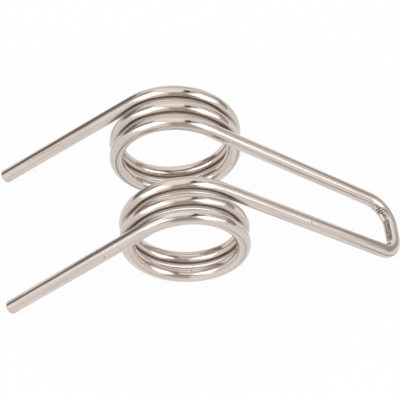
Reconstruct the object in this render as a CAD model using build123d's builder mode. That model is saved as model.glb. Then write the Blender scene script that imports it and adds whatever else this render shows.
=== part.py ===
from build123d import *
import os
from math import cos, radians, sin

# A double torsion spring, bent from one round steel wire. Two coils lie on one level
# axis, one wound left-handed and one right-handed. Their inner ends run down together
# as the two legs of a U, and their outer ends run down the other way as free legs. Laid
# down, the spring stands on the two free ends and on the bridge of the U.
# The origin is on the coils' axis, midway between them. X points from the free legs to
# the bridge, Y along the axis from the front coil to the back one, and Z up.

# ---- Driving dimensions, in millimetres and degrees ----

WIRE_DIAMETER = 2.0

# The coils, each measured to the middle of the wire. The front one is wound a little
# tighter, and each sits slightly to its own side of the common axis.
BACK_COIL_RADIUS = 8.45
FRONT_COIL_RADIUS = 8.0
COIL_SETOVER = 0.35
COIL_ADVANCE = 2.75      # along the axis, for each turn
COIL_GAP = 9.6           # along the axis, between the inner ends of the two coils
FULL_TURNS = 2           # whole turns, besides the part that joins the two legs

# The free legs, which are cut so that both ends reach the same level.
FREE_LEG_SLOPE = 42.7    # below the horizontal
FREE_LEG_SPLAY = 1.4     # outwards, away from the other leg
FREE_LEG_DROP = 11.75    # from the coils' axis down to the middle of each cut end
END_ROUNDING = 0.2       # radius of the worn edge round each cut end

# The U, whose corners are bent one wider than the other.
U_LEG_SLOPE = 34.15      # below the horizontal
U_LEG_CONVERGENCE = 0.8  # inwards, towards the other leg
U_LEG_LENGTH = 28.45     # from the coil's lead to the sharp corner at the bridge
BACK_CORNER_RADIUS = 3.9
FRONT_CORNER_RADIUS = 2.6

# Where the wire leaves a coil, a slight bend takes out the coil's pitch.
LEAD_LENGTH = 2.0        # from each end of that bend to its corner

# The mark of the bending tool, pressed flat along the inner side of the bridge.
MARK_DEPTH = 0.15
MARK_TILT = 26.0         # turned up from the plane of the U
MARK_IN_BACK_CORNER = 0.5    # share of the back corner's arc that it covers
MARK_IN_FRONT_CORNER = 0.25  # share of the front corner's arc that it covers

# ---- Worked out from them ----

wire_radius = WIRE_DIAMETER / 2
wound_angle = 360 * FULL_TURNS + FREE_LEG_SLOPE + U_LEG_SLOPE
coil_length = COIL_ADVANCE * wound_angle / 360
outer_end_y = COIL_GAP / 2 + coil_length


def way(along_x, slope, splay):
    """Direction of a leg that runs down at a slope, turned sideways towards +Y."""
    level = cos(radians(slope)) * cos(radians(splay))
    fall = sin(radians(slope)) * cos(radians(splay))
    return Vector(along_x * level, sin(radians(splay)), -fall)


def half_wire(coil_radius, setover):
    """Centre line of the back half: free leg, coil and the bend that starts the U."""
    free_leg_way = way(-1, FREE_LEG_SLOPE, FREE_LEG_SPLAY)
    u_leg_way = way(1, U_LEG_SLOPE, -U_LEG_CONVERGENCE)

    # The helix starts where the free leg is tangent to the coil, and advances inwards.
    towards_start = Vector(-sin(radians(FREE_LEG_SLOPE)), 0, cos(radians(FREE_LEG_SLOPE)))
    coil_plane = Plane(origin=(setover, outer_end_y, 0), x_dir=towards_start, z_dir=(0, -1, 0))
    helix = Helix(COIL_ADVANCE, coil_length, coil_radius, lefthand=True, mode=Mode.PRIVATE)
    coil = coil_plane.from_local_coords(helix)

    outwards = -(coil % 0)
    leg_start = coil @ 0 + (outwards + free_leg_way) * LEAD_LENGTH
    leg_length = (leg_start.Z + FREE_LEG_DROP) / -free_leg_way.Z
    u_start = coil @ 1 + (coil % 1 + u_leg_way) * LEAD_LENGTH

    with BuildLine() as half:
        Line(leg_start + free_leg_way * leg_length, leg_start)
        TangentArc(coil @ 0, leg_start, tangent=outwards)
        add(coil)
        TangentArc(coil @ 1, u_start, tangent=coil % 1)
    return half.wires()[0]


# ---- The spring ----

back_half = half_wire(BACK_COIL_RADIUS, -COIL_SETOVER)
front_half = half_wire(FRONT_COIL_RADIUS, COIL_SETOVER).mirror(Plane.XZ)
back_corner = back_half @ 1 + (back_half % 1) * U_LEG_LENGTH
front_corner = front_half @ 1 + (front_half % 1) * U_LEG_LENGTH

with BuildPart() as double_torsion_spring:
    # The wire's whole centre line, from one free end to the other.
    with BuildLine() as centre_line:
        add(back_half)
        u_bend = FilletPolyline(
            [back_half @ 1, back_corner, front_corner, front_half @ 1],
            radius=[BACK_CORNER_RADIUS, FRONT_CORNER_RADIUS],
        )
        add(front_half)

    # Its round section, carried along that line.
    with BuildSketch(Plane(origin=back_half @ 0, z_dir=back_half % 0)):
        Circle(wire_radius)
    sweep(path=centre_line.wires()[0])

    # The cut ends, worn round at their edges.
    cut_ends = double_torsion_spring.faces().filter_by(GeomType.PLANE)
    fillet(cut_ends.edges(), END_ROUNDING)

    # The bending tool's flat, which follows the corners and the bridge between them.
    back_leg, back_bend, bridge, front_bend, front_leg = u_bend.edges()
    with BuildLine() as mark_line:
        add(back_bend.trim(1 - MARK_IN_BACK_CORNER, 1))
        add(bridge)
        add(front_bend.trim(0, MARK_IN_FRONT_CORNER))
    mark_path = mark_line.wires()[0]
    u_up = (bridge % 0).cross(back_leg % 1)
    u_inwards = (mark_path % 0).cross(u_up)
    mark_facing = u_inwards * cos(radians(MARK_TILT)) + u_up * sin(radians(MARK_TILT))
    with BuildSketch(Plane(origin=mark_path @ 0, x_dir=mark_facing, z_dir=mark_path % 0)):
        with Locations((wire_radius, 0)):
            Rectangle(2 * MARK_DEPTH, WIRE_DIAMETER)
    sweep(path=mark_path, mode=Mode.SUBTRACT)

double_torsion_spring.part.label = "double_torsion_spring"

# ---- Export ----

os.makedirs("parts", exist_ok=True)
export_step(double_torsion_spring.part, "parts/double_torsion_spring.step")
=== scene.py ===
from math import cos, pi, radians, sin, tan

import bpy
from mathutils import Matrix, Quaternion, Vector, noise


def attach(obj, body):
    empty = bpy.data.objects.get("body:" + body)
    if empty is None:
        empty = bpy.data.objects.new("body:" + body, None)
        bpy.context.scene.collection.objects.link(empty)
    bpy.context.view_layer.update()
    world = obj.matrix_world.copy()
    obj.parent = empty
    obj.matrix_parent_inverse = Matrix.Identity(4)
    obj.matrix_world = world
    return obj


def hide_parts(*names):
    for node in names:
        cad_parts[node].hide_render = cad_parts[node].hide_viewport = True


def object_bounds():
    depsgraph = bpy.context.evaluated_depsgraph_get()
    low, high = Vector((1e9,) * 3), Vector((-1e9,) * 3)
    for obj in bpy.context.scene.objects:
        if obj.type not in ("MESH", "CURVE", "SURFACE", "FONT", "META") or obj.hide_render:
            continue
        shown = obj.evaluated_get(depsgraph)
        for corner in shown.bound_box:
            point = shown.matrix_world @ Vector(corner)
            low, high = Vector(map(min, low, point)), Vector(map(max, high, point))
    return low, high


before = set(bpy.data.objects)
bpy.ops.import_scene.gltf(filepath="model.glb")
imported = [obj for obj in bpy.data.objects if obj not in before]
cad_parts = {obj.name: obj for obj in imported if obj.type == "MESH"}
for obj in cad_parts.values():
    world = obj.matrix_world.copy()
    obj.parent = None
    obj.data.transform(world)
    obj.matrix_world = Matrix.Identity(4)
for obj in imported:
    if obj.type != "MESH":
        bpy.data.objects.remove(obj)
cad_low, cad_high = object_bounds()

# ---- The centre line of the wire ----
# A double torsion spring is one length of hard drawn round steel wire. Each half has a
# free leg, a coil wound close on an arbor, and one leg of the U that joins the halves.

# The wire is a hair thicker here and its turns a hair closer than in the CAD solid. The
# two surfaces are 0.1 mm apart at most, and up to 0.2 mm in the bending tool's marks.
WIRE_RADIUS = 0.00101

BACK_COIL_RADIUS = 0.00845
FRONT_COIL_RADIUS = 0.008
COIL_SETOVER = 0.00035
COIL_ADVANCE = 0.0027
COIL_GAP = 0.00973
FULL_TURNS = 2

FREE_LEG_SLOPE = radians(42.7)
FREE_LEG_SPLAY = radians(1.55)
FREE_LEG_DROP = 0.01175

U_LEG_SLOPE = radians(34.15)
U_LEG_CONVERGENCE = radians(0.92)
U_LEG_LENGTH = 0.02845
BACK_CORNER_RADIUS = 0.0039
FRONT_CORNER_RADIUS = 0.0026
LEAD_LENGTH = 0.002

# how finely the straight runs and the bends are divided
RUN_STEP = 0.0004
COIL_STEP = radians(2.5)
LEAD_STEPS = 8
CORNER_STEPS = 40
BRIDGE_STEP = 0.00015

wound_angle = 2 * pi * FULL_TURNS + FREE_LEG_SLOPE + U_LEG_SLOPE
outer_end_y = COIL_GAP / 2 + COIL_ADVANCE * wound_angle / (2 * pi)


def way(along_x, slope, splay):
    """Heading of a leg that runs down at a slope, turned sideways by its splay."""
    return Vector((along_x * cos(slope) * cos(splay), sin(splay), -sin(slope) * cos(splay)))


def carry(move, step):
    """Draws the wire's end straight on, in steps of about that length."""
    steps = round(move.length / step)
    for _ in range(steps):
        bpy.ops.mesh.extrude_region_move(TRANSFORM_OT_translate={"value": move / steps})


def bend(end, ahead, turned, setback, steps):
    """Turns the wire's end from one heading to another, with the corner a setback away.
    Spin turns clockwise about its axis, so it is given the axis reversed."""
    axis = ahead.cross(turned).normalized()
    angle = ahead.angle(turned)
    centre = end + axis.cross(ahead) * setback / tan(angle / 2)
    bpy.ops.mesh.spin(steps=steps, angle=angle, center=centre, axis=-axis)
    return end + (ahead + turned) * setback


def new_wire(name, start):
    """One vertex at the start of a wire, left selected in edit mode."""
    bpy.ops.object.select_all(action="DESELECT")
    bpy.ops.mesh.primitive_plane_add(size=WIRE_RADIUS)
    wire = bpy.context.active_object
    wire.name = name
    bpy.ops.object.mode_set(mode="EDIT")
    bpy.ops.mesh.select_all(action="SELECT")
    bpy.ops.mesh.merge(type="CENTER")
    bpy.ops.transform.translate(value=start)
    return wire


def draw_half(name, side, coil_radius, setover):
    """Draws a free leg and its coil up to the start of the U, on side 1, back, or -1, front."""
    free_leg = way(-1, FREE_LEG_SLOPE, side * FREE_LEG_SPLAY)
    u_leg = way(1, U_LEG_SLOPE, -side * U_LEG_CONVERGENCE)
    drift = -side * COIL_ADVANCE / (2 * pi * coil_radius)
    into_coil = Vector((cos(FREE_LEG_SLOPE), drift, sin(FREE_LEG_SLOPE))).normalized()
    out_of_coil = Vector((cos(U_LEG_SLOPE), drift, -sin(U_LEG_SLOPE))).normalized()
    coil_start = Vector((-sin(FREE_LEG_SLOPE), 0, cos(FREE_LEG_SLOPE))) * coil_radius
    coil_start += Vector((setover, side * outer_end_y, 0))
    coil_end = Vector((sin(U_LEG_SLOPE), 0, cos(U_LEG_SLOPE))) * coil_radius
    coil_end += Vector((setover, side * COIL_GAP / 2, 0))

    leg_start = coil_start + (free_leg - into_coil) * LEAD_LENGTH
    leg_length = (leg_start.z + FREE_LEG_DROP) / -free_leg.z
    tip = leg_start + free_leg * leg_length
    wire = new_wire(name, tip)
    carry(-free_leg * leg_length, RUN_STEP)
    bend(leg_start, -free_leg, into_coil, LEAD_LENGTH, LEAD_STEPS)

    coil_steps = round(wound_angle / COIL_STEP)
    step_angle = wound_angle / coil_steps
    step_advance = -side * COIL_ADVANCE * step_angle / (2 * pi)
    for _ in range(coil_steps):
        bpy.ops.mesh.spin(
            steps=1, angle=step_angle, center=(setover, 0, 0), axis=(0, -1, 0)
        )
        bpy.ops.transform.translate(value=(0, step_advance, 0))
    u_start = bend(coil_end, out_of_coil, u_leg, LEAD_LENGTH, LEAD_STEPS)
    return wire, u_start, u_leg


front_wire, front_start, front_u_leg = draw_half(
    "front_half", -1, FRONT_COIL_RADIUS, COIL_SETOVER
)
bpy.ops.object.mode_set(mode="OBJECT")
spring, back_start, back_u_leg = draw_half(
    "spring_wire", 1, BACK_COIL_RADIUS, -COIL_SETOVER
)

# The U goes on from the back half, round its two corners, to meet the front half.
back_corner = back_start + back_u_leg * U_LEG_LENGTH
front_corner = front_start + front_u_leg * U_LEG_LENGTH
bridge_way = (front_corner - back_corner).normalized()
back_setback = BACK_CORNER_RADIUS * tan(back_u_leg.angle(bridge_way) / 2)
front_setback = FRONT_CORNER_RADIUS * tan(bridge_way.angle(-front_u_leg) / 2)
back_bend_start = back_corner - back_u_leg * back_setback
bridge_start = back_corner + bridge_way * back_setback
bridge_end = front_corner - bridge_way * front_setback
front_bend_end = front_corner - front_u_leg * front_setback
carry(back_bend_start - back_start, RUN_STEP)
bend(back_bend_start, back_u_leg, bridge_way, back_setback, CORNER_STEPS)
carry(bridge_end - bridge_start, BRIDGE_STEP)
bend(bridge_end, bridge_way, -front_u_leg, front_setback, CORNER_STEPS)
carry(front_start - front_bend_end, RUN_STEP)
bpy.ops.object.mode_set(mode="OBJECT")
front_wire.select_set(True)
bpy.ops.object.join()
bpy.ops.object.mode_set(mode="EDIT")
bpy.ops.mesh.select_all(action="SELECT")
bpy.ops.mesh.remove_doubles(threshold=RUN_STEP / 100)
bpy.ops.object.mode_set(mode="OBJECT")

# ---- The round wire ----
# The centre line gets its round section, as a curve with a bevel. Each point keeps where
# it lay on the straight wire, so that the draw lines follow every bend.

BEVEL_RESOLUTION = 30
SPOKES = 4 + 2 * BEVEL_RESOLUTION  # vertices in each ring of the bevelled curve
KEPT_AT_POINTS = {
    "straightened": "FLOAT_VECTOR",  # where the point lay on the straight wire
    "around": "FLOAT_VECTOR",  # direction round the wire
    "stain_and_highlight": "FLOAT",  # -1 where galled and dark, 1 for the painted highlight on the burr
}

bpy.ops.object.convert(target="CURVE")
bpy.ops.object.mode_set(mode="EDIT")
bpy.ops.curve.select_all(action="SELECT")
bpy.ops.curve.switch_direction()
bpy.ops.object.mode_set(mode="OBJECT")
spring.data.bevel_depth = WIRE_RADIUS
spring.data.bevel_resolution = BEVEL_RESOLUTION
bpy.ops.object.convert(target="MESH")

for name, kind in KEPT_AT_POINTS.items():
    spring.data.attributes.new(name, kind, "POINT")
straightened = spring.data.attributes["straightened"]
around = spring.data.attributes["around"]
stain_and_highlight = spring.data.attributes["stain_and_highlight"]

rings = []
along = 0.0
for first in range(0, len(spring.data.vertices), SPOKES):
    ring = [vertex.co.copy() for vertex in spring.data.vertices[first : first + SPOKES]]
    centre = sum(ring, Vector()) / SPOKES
    if rings:
        along += (centre - rings[-1][1]).length
    rings.append((ring, centre))
    for spoke in range(SPOKES):
        angle = 2 * pi * spoke / SPOKES
        straight = (along, WIRE_RADIUS * cos(angle), WIRE_RADIUS * sin(angle))
        straightened.data[first + spoke].vector = straight
        around.data[first + spoke].vector = (ring[spoke] - ring[spoke - 1]).normalized()

# ---- The marks of the bending tool ----
# The nose of the forming tool ploughed a shallow valley along the inner side of the bridge.
# It starts in a few bites across the back corner and stops at a burr in the front one.

# The valley is turned up from the plane of the U, and covers a share of each corner's arc.
MARK_DEPTH = 0.0001
MARK_HALF_WIDTH = 0.00044
MARK_TILT = radians(15)
MARK_IN_BACK_CORNER = 0.5
MARK_IN_FRONT_CORNER = 0.31
VALLEY_SLOPE = 0.16
VALLEY_STAIN = 0.45  # on its lower side
GROOVE_DEPTH = 0.0001
GROOVE_HALF_WIDTH = 0.00014

# how far along the wire each bite lies from the start of the valley
BITES = (-0.00063, -0.00018, 0.00027)
BITE_SLANT = 0.3
BITE_DEPTH = 0.0002
BITE_HALF_WIDTH = 0.00018

# Galling roughens the lower side before the valley, and the valley itself from a share of
# its length on.
GALLED_RUN = 0.0024
GALL_DEPTH = 0.00006
GALL_SIZE = 0.00022
GALL_STAIN = 1.4
GALL_STAIN_BEFORE = 1.5
LIGHTLY_GALLED, HEAVILY_GALLED = 0.3, 1.3
HEAVILY_GALLED_FROM = 0.6

# The end of the valley is an upright wall with a burr on it, a few rings long. The burr has a
# painted highlight.
END_WALL = 0.2
BURR_HEIGHT = 0.00007
BURR_RINGS = 2


def ring_at(point):
    """Number of the ring nearest to a point of the centre line."""
    return min(range(len(rings)), key=lambda number: (rings[number][1] - point).length)


def distance_along(number):
    """How far along the wire a ring lies."""
    return straightened.data[number * SPOKES].vector.x


mark_start = ring_at(back_bend_start) + round(CORNER_STEPS * (1 - MARK_IN_BACK_CORNER))
mark_end = ring_at(bridge_end) + round(CORNER_STEPS * MARK_IN_FRONT_CORNER)
mark_length = distance_along(mark_end) - distance_along(mark_start)
u_up = bridge_way.cross(back_u_leg).normalized()

# The ring after the valley is drawn up to the valley's last one, for that wall.
for spoke in range(SPOKES):
    last, after = rings[mark_end][0][spoke], rings[mark_end + 1][0][spoke]
    rings[mark_end + 1][0][spoke] = last.lerp(after, END_WALL)

first_galled = mark_start
while distance_along(mark_start) - distance_along(first_galled) < GALLED_RUN:
    first_galled -= 1
for number in range(first_galled, mark_end + 1 + BURR_RINGS):
    ring, centre = rings[number]
    ahead = (rings[number + 1][1] - rings[number - 1][1]).normalized()
    facing = ahead.cross(u_up) * cos(MARK_TILT) + u_up * sin(MARK_TILT)
    sideways = ahead.cross(facing)
    past_start = distance_along(number) - distance_along(mark_start)
    for spoke, point in enumerate(ring):
        height = (point - centre).dot(facing)
        aside = (point - centre).dot(sideways)
        in_mark = height > WIRE_RADIUS - MARK_DEPTH
        gall = max(0, noise.noise(point / GALL_SIZE))
        bite = max(
            1 - abs(past_start - place + BITE_SLANT * aside) / BITE_HALF_WIDTH for place in BITES
        )
        level = WIRE_RADIUS
        mark_stain_and_highlight = 0
        # the burr stands up and gets a painted highlight
        if number > mark_end:
            level = height + BURR_HEIGHT * in_mark
            mark_stain_and_highlight = float(in_mark)
        elif past_start >= 0:
            groove = max(0, 1 - abs(aside) / GROOVE_HALF_WIDTH)
            heavily = past_start > mark_length * HEAVILY_GALLED_FROM
            galled = gall * (HEAVILY_GALLED if heavily else LIGHTLY_GALLED)
            level -= MARK_DEPTH + VALLEY_SLOPE * (MARK_HALF_WIDTH - abs(aside))
            level -= GROOVE_DEPTH * groove + GALL_DEPTH * galled
            mark_stain_and_highlight = -max(groove, GALL_STAIN * galled, VALLEY_STAIN * (aside > 0)) * in_mark
        elif aside > 0 and height > 0:
            level = height - GALL_DEPTH * gall
            mark_stain_and_highlight = -GALL_STAIN_BEFORE * gall
        if bite > 0 and height > WIRE_RADIUS - BITE_DEPTH * bite:
            level = min(level, WIRE_RADIUS - BITE_DEPTH * bite)
            mark_stain_and_highlight = -bite
        if height > level or number > mark_end:
            ring[spoke] = point - facing * (height - level)
            stain_and_highlight.data[number * SPOKES + spoke].value = mark_stain_and_highlight

for number, (ring, _) in enumerate(rings):
    for spoke, point in enumerate(ring):
        spring.data.vertices[number * SPOKES + spoke].co = point

# ---- The cut ends ----
# Both free legs are cropped square, and their edges are worn slightly round.

END_ROUNDING = 0.0002
END_SEGMENTS = 5
SMOOTH_UP_TO = radians(28)

bpy.ops.object.mode_set(mode="EDIT")
bpy.ops.mesh.select_mode(type="FACE")
bpy.ops.mesh.select_all(action="SELECT")
bpy.ops.mesh.fill_holes(sides=0)
bpy.ops.mesh.select_all(action="DESELECT")
bpy.ops.object.mode_set(mode="OBJECT")
for face in spring.data.polygons:
    face.select = len(face.vertices) == SPOKES
bpy.ops.object.mode_set(mode="EDIT")
bpy.ops.mesh.bevel(offset=END_ROUNDING, segments=END_SEGMENTS, affect="EDGES")
bpy.ops.mesh.select_all(action="SELECT")
bpy.ops.mesh.normals_make_consistent(inside=False)
bpy.ops.object.mode_set(mode="OBJECT")
bpy.ops.object.shade_smooth_by_angle(angle=SMOOTH_UP_TO)

# ---- The drawn steel ----
# Bright drawn steel wire, polished, with painted shade between its turns. The die leaves
# fine lines along it, and handling leaves a few pits.

# Each range below is the pattern's value where the effect begins, and where it is full.
# A streak's scale is along the wire and across it.
STEEL_LIGHT = (0.69, 0.62, 0.575, 1)
STEEL_DARK = (0.57, 0.495, 0.45, 1)
STREAK_SCALE, STREAK_DETAIL = (90, 4200, 4200), 3
STREAK_RANGE = (0.35, 0.62)

# fine draw lines, which stand up a little and vary the polish
LINE_SCALE, LINE_DETAIL = (260, 11000, 11000), 2
LINE_RANGE = (0.3, 0.7)
LINE_HEIGHT, LINE_STRENGTH = 0.00001, 0.6
SMOOTHEST, ROUGHEST = 0.08, 0.17
DRAWN_BLUR = 0.85

# a few darker score lines
SCORE_SCALE, SCORE_DETAIL = (45, 3300, 3300), 1
SCORE_RANGE = (0.37, 0.31)
SCORE_DARK = (0.36, 0.3, 0.26, 1)

# painted shade in the crevices between the turns, where they hide each other
CREVICE_REACH = 0.0025
CREVICE_RANGE = (0.85, 0.35)
CREVICE_SHADE = (0.40, 0.325, 0.27, 1)
CREVICE_SAMPLES = 16

GALLED = (0.1, 0.08, 0.07, 1)
# painted highlight on the burr at the end of the valley
BURR_HIGHLIGHT = (0.95, 0.93, 0.91, 1)
PIT_RADIUS = 0.0001
PIT_BLUR = 0.3  # share of the radius over which a pit's edge fades
PITS = (
    (0.0014, -0.0092, -0.0069),
    (0.0078, 0.0060, -0.0023),
    (-0.0107, -0.0120, 0.0012),
    (0.0183, -0.0051, -0.0015),
)


def new_material(name):
    """A material with the given name, its nodes, its links and its shader."""
    material = bpy.data.materials.new(name)
    material.use_nodes = True
    tree = material.node_tree
    return material, tree.nodes, tree.links, tree.nodes["Principled BSDF"]


steel, nodes, links, shader = new_material("bright_drawn_steel")


def kept_at_points(name):
    """Node that reads what the wire's points keep under that name."""
    kept = nodes.new("ShaderNodeAttribute")
    kept.attribute_name = name
    return kept


def streaks(scale, detail):
    """Noise drawn out along the wire."""
    stretch = nodes.new("ShaderNodeMapping")
    stretch.inputs["Scale"].default_value = scale
    grain = nodes.new("ShaderNodeTexNoise")
    grain.inputs["Scale"].default_value = 1
    grain.inputs["Detail"].default_value = detail
    place = kept_at_points("straightened").outputs["Vector"]
    links.new(place, stretch.inputs["Vector"])
    links.new(stretch.outputs["Vector"], grain.inputs["Vector"])
    return grain.outputs["Fac"]


def mixed(factor, first, second):
    """Colour that runs from the first to the second as the factor goes from 0 to 1."""
    mix = nodes.new("ShaderNodeMix")
    mix.data_type = "RGBA"
    for end, colour in (("A", first), ("B", second)):
        if isinstance(colour, tuple):
            mix.inputs[end].default_value = colour
        else:
            links.new(colour, mix.inputs[end])
    links.new(factor, mix.inputs["Factor"])
    return mix.outputs["Result"]


def ramped(value, begins, full, lowest=0, highest=1):
    """Runs from the lowest to the highest as the value goes from begins to full."""
    ramp = nodes.new("ShaderNodeMapRange")
    ramp.inputs["From Min"].default_value = begins
    ramp.inputs["From Max"].default_value = full
    ramp.inputs["To Min"].default_value = lowest
    ramp.inputs["To Max"].default_value = highest
    links.new(value, ramp.inputs["Value"])
    return ramp.outputs["Result"]


# The colour: streaks, score lines, painted shade in the crevices, the tool's marks with a
# painted highlight on the burr, and the pits.
streaked = ramped(streaks(STREAK_SCALE, STREAK_DETAIL), *STREAK_RANGE)
colour = mixed(streaked, STEEL_DARK, STEEL_LIGHT)
scored = ramped(streaks(SCORE_SCALE, SCORE_DETAIL), *SCORE_RANGE)
colour = mixed(scored, colour, SCORE_DARK)
# painted shade: the steel darkens where nearby turns hide it
shelter = nodes.new("ShaderNodeAmbientOcclusion")
shelter.inputs["Distance"].default_value = CREVICE_REACH
shelter.samples = CREVICE_SAMPLES
colour = mixed(ramped(shelter.outputs["AO"], *CREVICE_RANGE), colour, CREVICE_SHADE)
stain_and_highlight_fac = kept_at_points("stain_and_highlight").outputs["Fac"]
colour = mixed(ramped(stain_and_highlight_fac, 0, -1), colour, GALLED)
# painted highlight on the burr
colour = mixed(ramped(stain_and_highlight_fac, 0, 1), colour, BURR_HIGHLIGHT)
spot = nodes.new("ShaderNodeTexCoord")
for pit in PITS:
    away = nodes.new("ShaderNodeVectorMath")
    away.operation = "DISTANCE"
    away.inputs[1].default_value = pit
    links.new(spot.outputs["Object"], away.inputs[0])
    edge = (PIT_RADIUS * (1 + PIT_BLUR), PIT_RADIUS * (1 - PIT_BLUR))
    colour = mixed(ramped(away.outputs["Value"], *edge), colour, GALLED)
links.new(colour, shader.inputs["Base Color"])

# The polish, which blurs what it mirrors round the wire and not along it.
lines = streaks(LINE_SCALE, LINE_DETAIL)
links.new(ramped(lines, *LINE_RANGE, SMOOTHEST, ROUGHEST), shader.inputs["Roughness"])
raised = nodes.new("ShaderNodeBump")
raised.inputs["Strength"].default_value = LINE_STRENGTH
raised.inputs["Distance"].default_value = LINE_HEIGHT
links.new(lines, raised.inputs["Height"])
links.new(raised.outputs["Normal"], shader.inputs["Normal"])
links.new(kept_at_points("around").outputs["Vector"], shader.inputs["Tangent"])
shader.inputs["Metallic"].default_value = 1
shader.inputs["Anisotropic"].default_value = DRAWN_BLUR
spring.data.materials.clear()
spring.data.materials.append(steel)

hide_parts("double_torsion_spring")
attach(spring, "root")

# ---- The floor ----
# A plain sheet of white paper, laid flat. The spring stands on it with its two free ends
# and its bridge. It glows to what sees it, so that its far edge is lost in the backdrop.

FLOOR_WIDTH = 4.0
FLOOR_GLOW = 0.94
PAPER_WHITE = (0.9, 0.9, 0.9, 1)
PAPER_ROUGHNESS = 0.9

bpy.ops.object.select_all(action="DESELECT")
bpy.ops.mesh.primitive_plane_add(size=FLOOR_WIDTH, location=(0, 0, cad_low.z))
floor = bpy.context.active_object
floor.name = "floor"
paper, nodes, links, shader = new_material("white_paper")
shader.inputs["Base Color"].default_value = PAPER_WHITE
shader.inputs["Roughness"].default_value = PAPER_ROUGHNESS
shader.inputs["Specular IOR Level"].default_value = 0


def seen(node_list, link_list):
    """1 for what the camera sees, straight, mirrored or through glass, and 0 otherwise."""
    path = node_list.new("ShaderNodeLightPath")
    total = path.outputs["Is Camera Ray"]
    for kind in ("Is Glossy Ray", "Is Transmission Ray"):
        larger = node_list.new("ShaderNodeMath")
        larger.operation = "MAXIMUM"
        link_list.new(total, larger.inputs[0])
        link_list.new(path.outputs[kind], larger.inputs[1])
        total = larger.outputs["Value"]
    return total


glow = nodes.new("ShaderNodeEmission")
glow.inputs["Color"].default_value = (1, 1, 1, 1)
share = nodes.new("ShaderNodeMath")
share.operation = "MULTIPLY"
share.inputs[1].default_value = FLOOR_GLOW
links.new(seen(nodes, links), share.inputs[0])
blend = nodes.new("ShaderNodeMixShader")
links.new(share.outputs["Value"], blend.inputs["Fac"])
links.new(shader.outputs["BSDF"], blend.inputs[1])
links.new(glow.outputs["Emission"], blend.inputs[2])
links.new(blend.outputs["Shader"], nodes["Material Output"].inputs["Surface"])
floor.data.materials.append(paper)

# ---- The light ----
# Two soft boxes stand to the left and right of the camera in a white room. The polished
# wire mirrors the pale ceiling over them and the darker things in the gaps between them.

ROOM_LIGHT = 0.8
LAMP_DISTANCE = 1.2
# azimuth and elevation as seen from the spring, width, height, and brightness
SOFT_BOXES = {
    "left_soft_box": (-122, 34, 0.92, 1.05, 1.38),
    "right_soft_box": (129, 35.5, 0.88, 0.82, 1.34),
}
LIT_TINT = (1, 0.97, 0.94, 1)
SHADED_TINT = (1, 0.94, 0.89, 1)
# azimuth and elevation, distance, width, height, and how light the card is: above 1 it
# has the lit tint, and below it the shaded one
CARDS = {
    "ceiling": (-60, 74, 1.26, 1.30, 1.30, 1.25),
    "camera_and_stand": (174, 28, 1.26, 0.72, 1.55, 0.57),
    "ceiling_edge": (120, 66, 1.26, 1.00, 0.26, 0.45),
    "dark_lamp": (95, 73, 1.20, 0.60, 0.20, 0.04),
    "back_left_card": (-68, 27, 1.26, 0.75, 1.25, 0.50),
    "left_low_card": (-112, 8, 1.24, 0.95, 0.24, 1.15),
    "back_left_table": (-64, 2, 1.26, 1.00, 0.55, 0.24),
    "back_left_flag": (-45, 2, 0.085, 0.055, 0.034, 0.22),
    "right_card": (68, 30, 1.26, 0.50, 0.80, 0.68),
    "right_table": (77, 8, 1.26, 1.50, 0.46, 0.46),
}


def seen_from_spring(azimuth, elevation):
    """Unit direction, with azimuth 0 along +Y and 90 along +X."""
    a, e = radians(azimuth), radians(elevation)
    return Vector((sin(a) * cos(e), cos(a) * cos(e), sin(e)))


def facing_spring(towards):
    """Rotation of a lamp or card that lies in that direction and faces the spring."""
    return (-towards).to_track_quat("-Z", "Y").to_euler()


world = bpy.data.worlds.new("white_room")
bpy.context.scene.world = world
world.use_nodes = True
nodes, links = world.node_tree.nodes, world.node_tree.links
room = nodes["Background"]
room.inputs["Color"].default_value = (1, 1, 1, 1)
strength = nodes.new("ShaderNodeMapRange")
strength.inputs["To Min"].default_value = ROOM_LIGHT
strength.inputs["To Max"].default_value = 1
links.new(seen(nodes, links), strength.inputs["Value"])
links.new(strength.outputs["Result"], room.inputs["Strength"])

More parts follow.
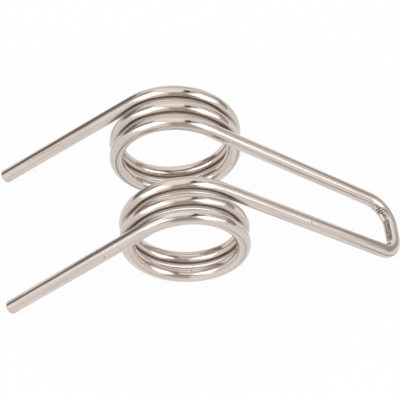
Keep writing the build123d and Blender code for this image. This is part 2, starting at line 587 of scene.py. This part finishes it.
for name, (azimuth, elevation, width, height, brightness) in SOFT_BOXES.items():
    towards = seen_from_spring(azimuth, elevation)
    bpy.ops.object.light_add(type="AREA", location=towards * LAMP_DISTANCE)
    lamp = bpy.context.active_object
    lamp.name = name
    lamp.rotation_euler = facing_spring(towards)
    lamp.data.shape = "RECTANGLE"
    lamp.data.size = width
    lamp.data.size_y = height
    lamp.data.energy = brightness * pi * width * height

for name, (azimuth, elevation, distance, width, height, lightness) in CARDS.items():
    towards = seen_from_spring(azimuth, elevation)
    bpy.ops.mesh.primitive_plane_add(size=1, location=towards * distance)
    card = bpy.context.active_object
    card.name = name
    card.rotation_euler = facing_spring(towards)
    card.scale = (width, height, 1)
    card.visible_camera = False
    card.visible_diffuse = False
    card.visible_shadow = False
    grey, nodes, links, shader = new_material(name)
    nodes.remove(shader)
    tone = nodes.new("ShaderNodeEmission")
    tone.inputs["Color"].default_value = LIT_TINT if lightness > 1 else SHADED_TINT
    tone.inputs["Strength"].default_value = lightness
    links.new(tone.outputs["Emission"], nodes["Material Output"].inputs["Surface"])
    card.data.materials.append(grey)

# ---- The camera ----
# It stands in front of the spring, a little to the left, and looks down at it through a
# long lens.

CAMERA_AZIMUTH, CAMERA_ELEVATION = 185.198, 53.94
CAMERA_ROLL = radians(3.101)
CAMERA_DISTANCE = 0.22276
LOOKED_AT = Vector((0.003393, 0.005384, -0.010157))
FOCAL_LENGTH = 135.35
SENSOR_WIDTH = 36
CLIP_START, CLIP_END = 0.01, 20

back = seen_from_spring(CAMERA_AZIMUTH, CAMERA_ELEVATION)
turn = Quaternion(back, CAMERA_ROLL) @ (-back).to_track_quat("-Z", "Y")
bpy.ops.object.camera_add(
    location=LOOKED_AT + back * CAMERA_DISTANCE, rotation=turn.to_euler()
)
camera = bpy.context.active_object
camera.data.lens = FOCAL_LENGTH
camera.data.sensor_width = SENSOR_WIDTH
camera.data.clip_start = CLIP_START
camera.data.clip_end = CLIP_END
bpy.context.scene.camera = camera

bpy.context.scene.view_settings.view_transform = "Standard"
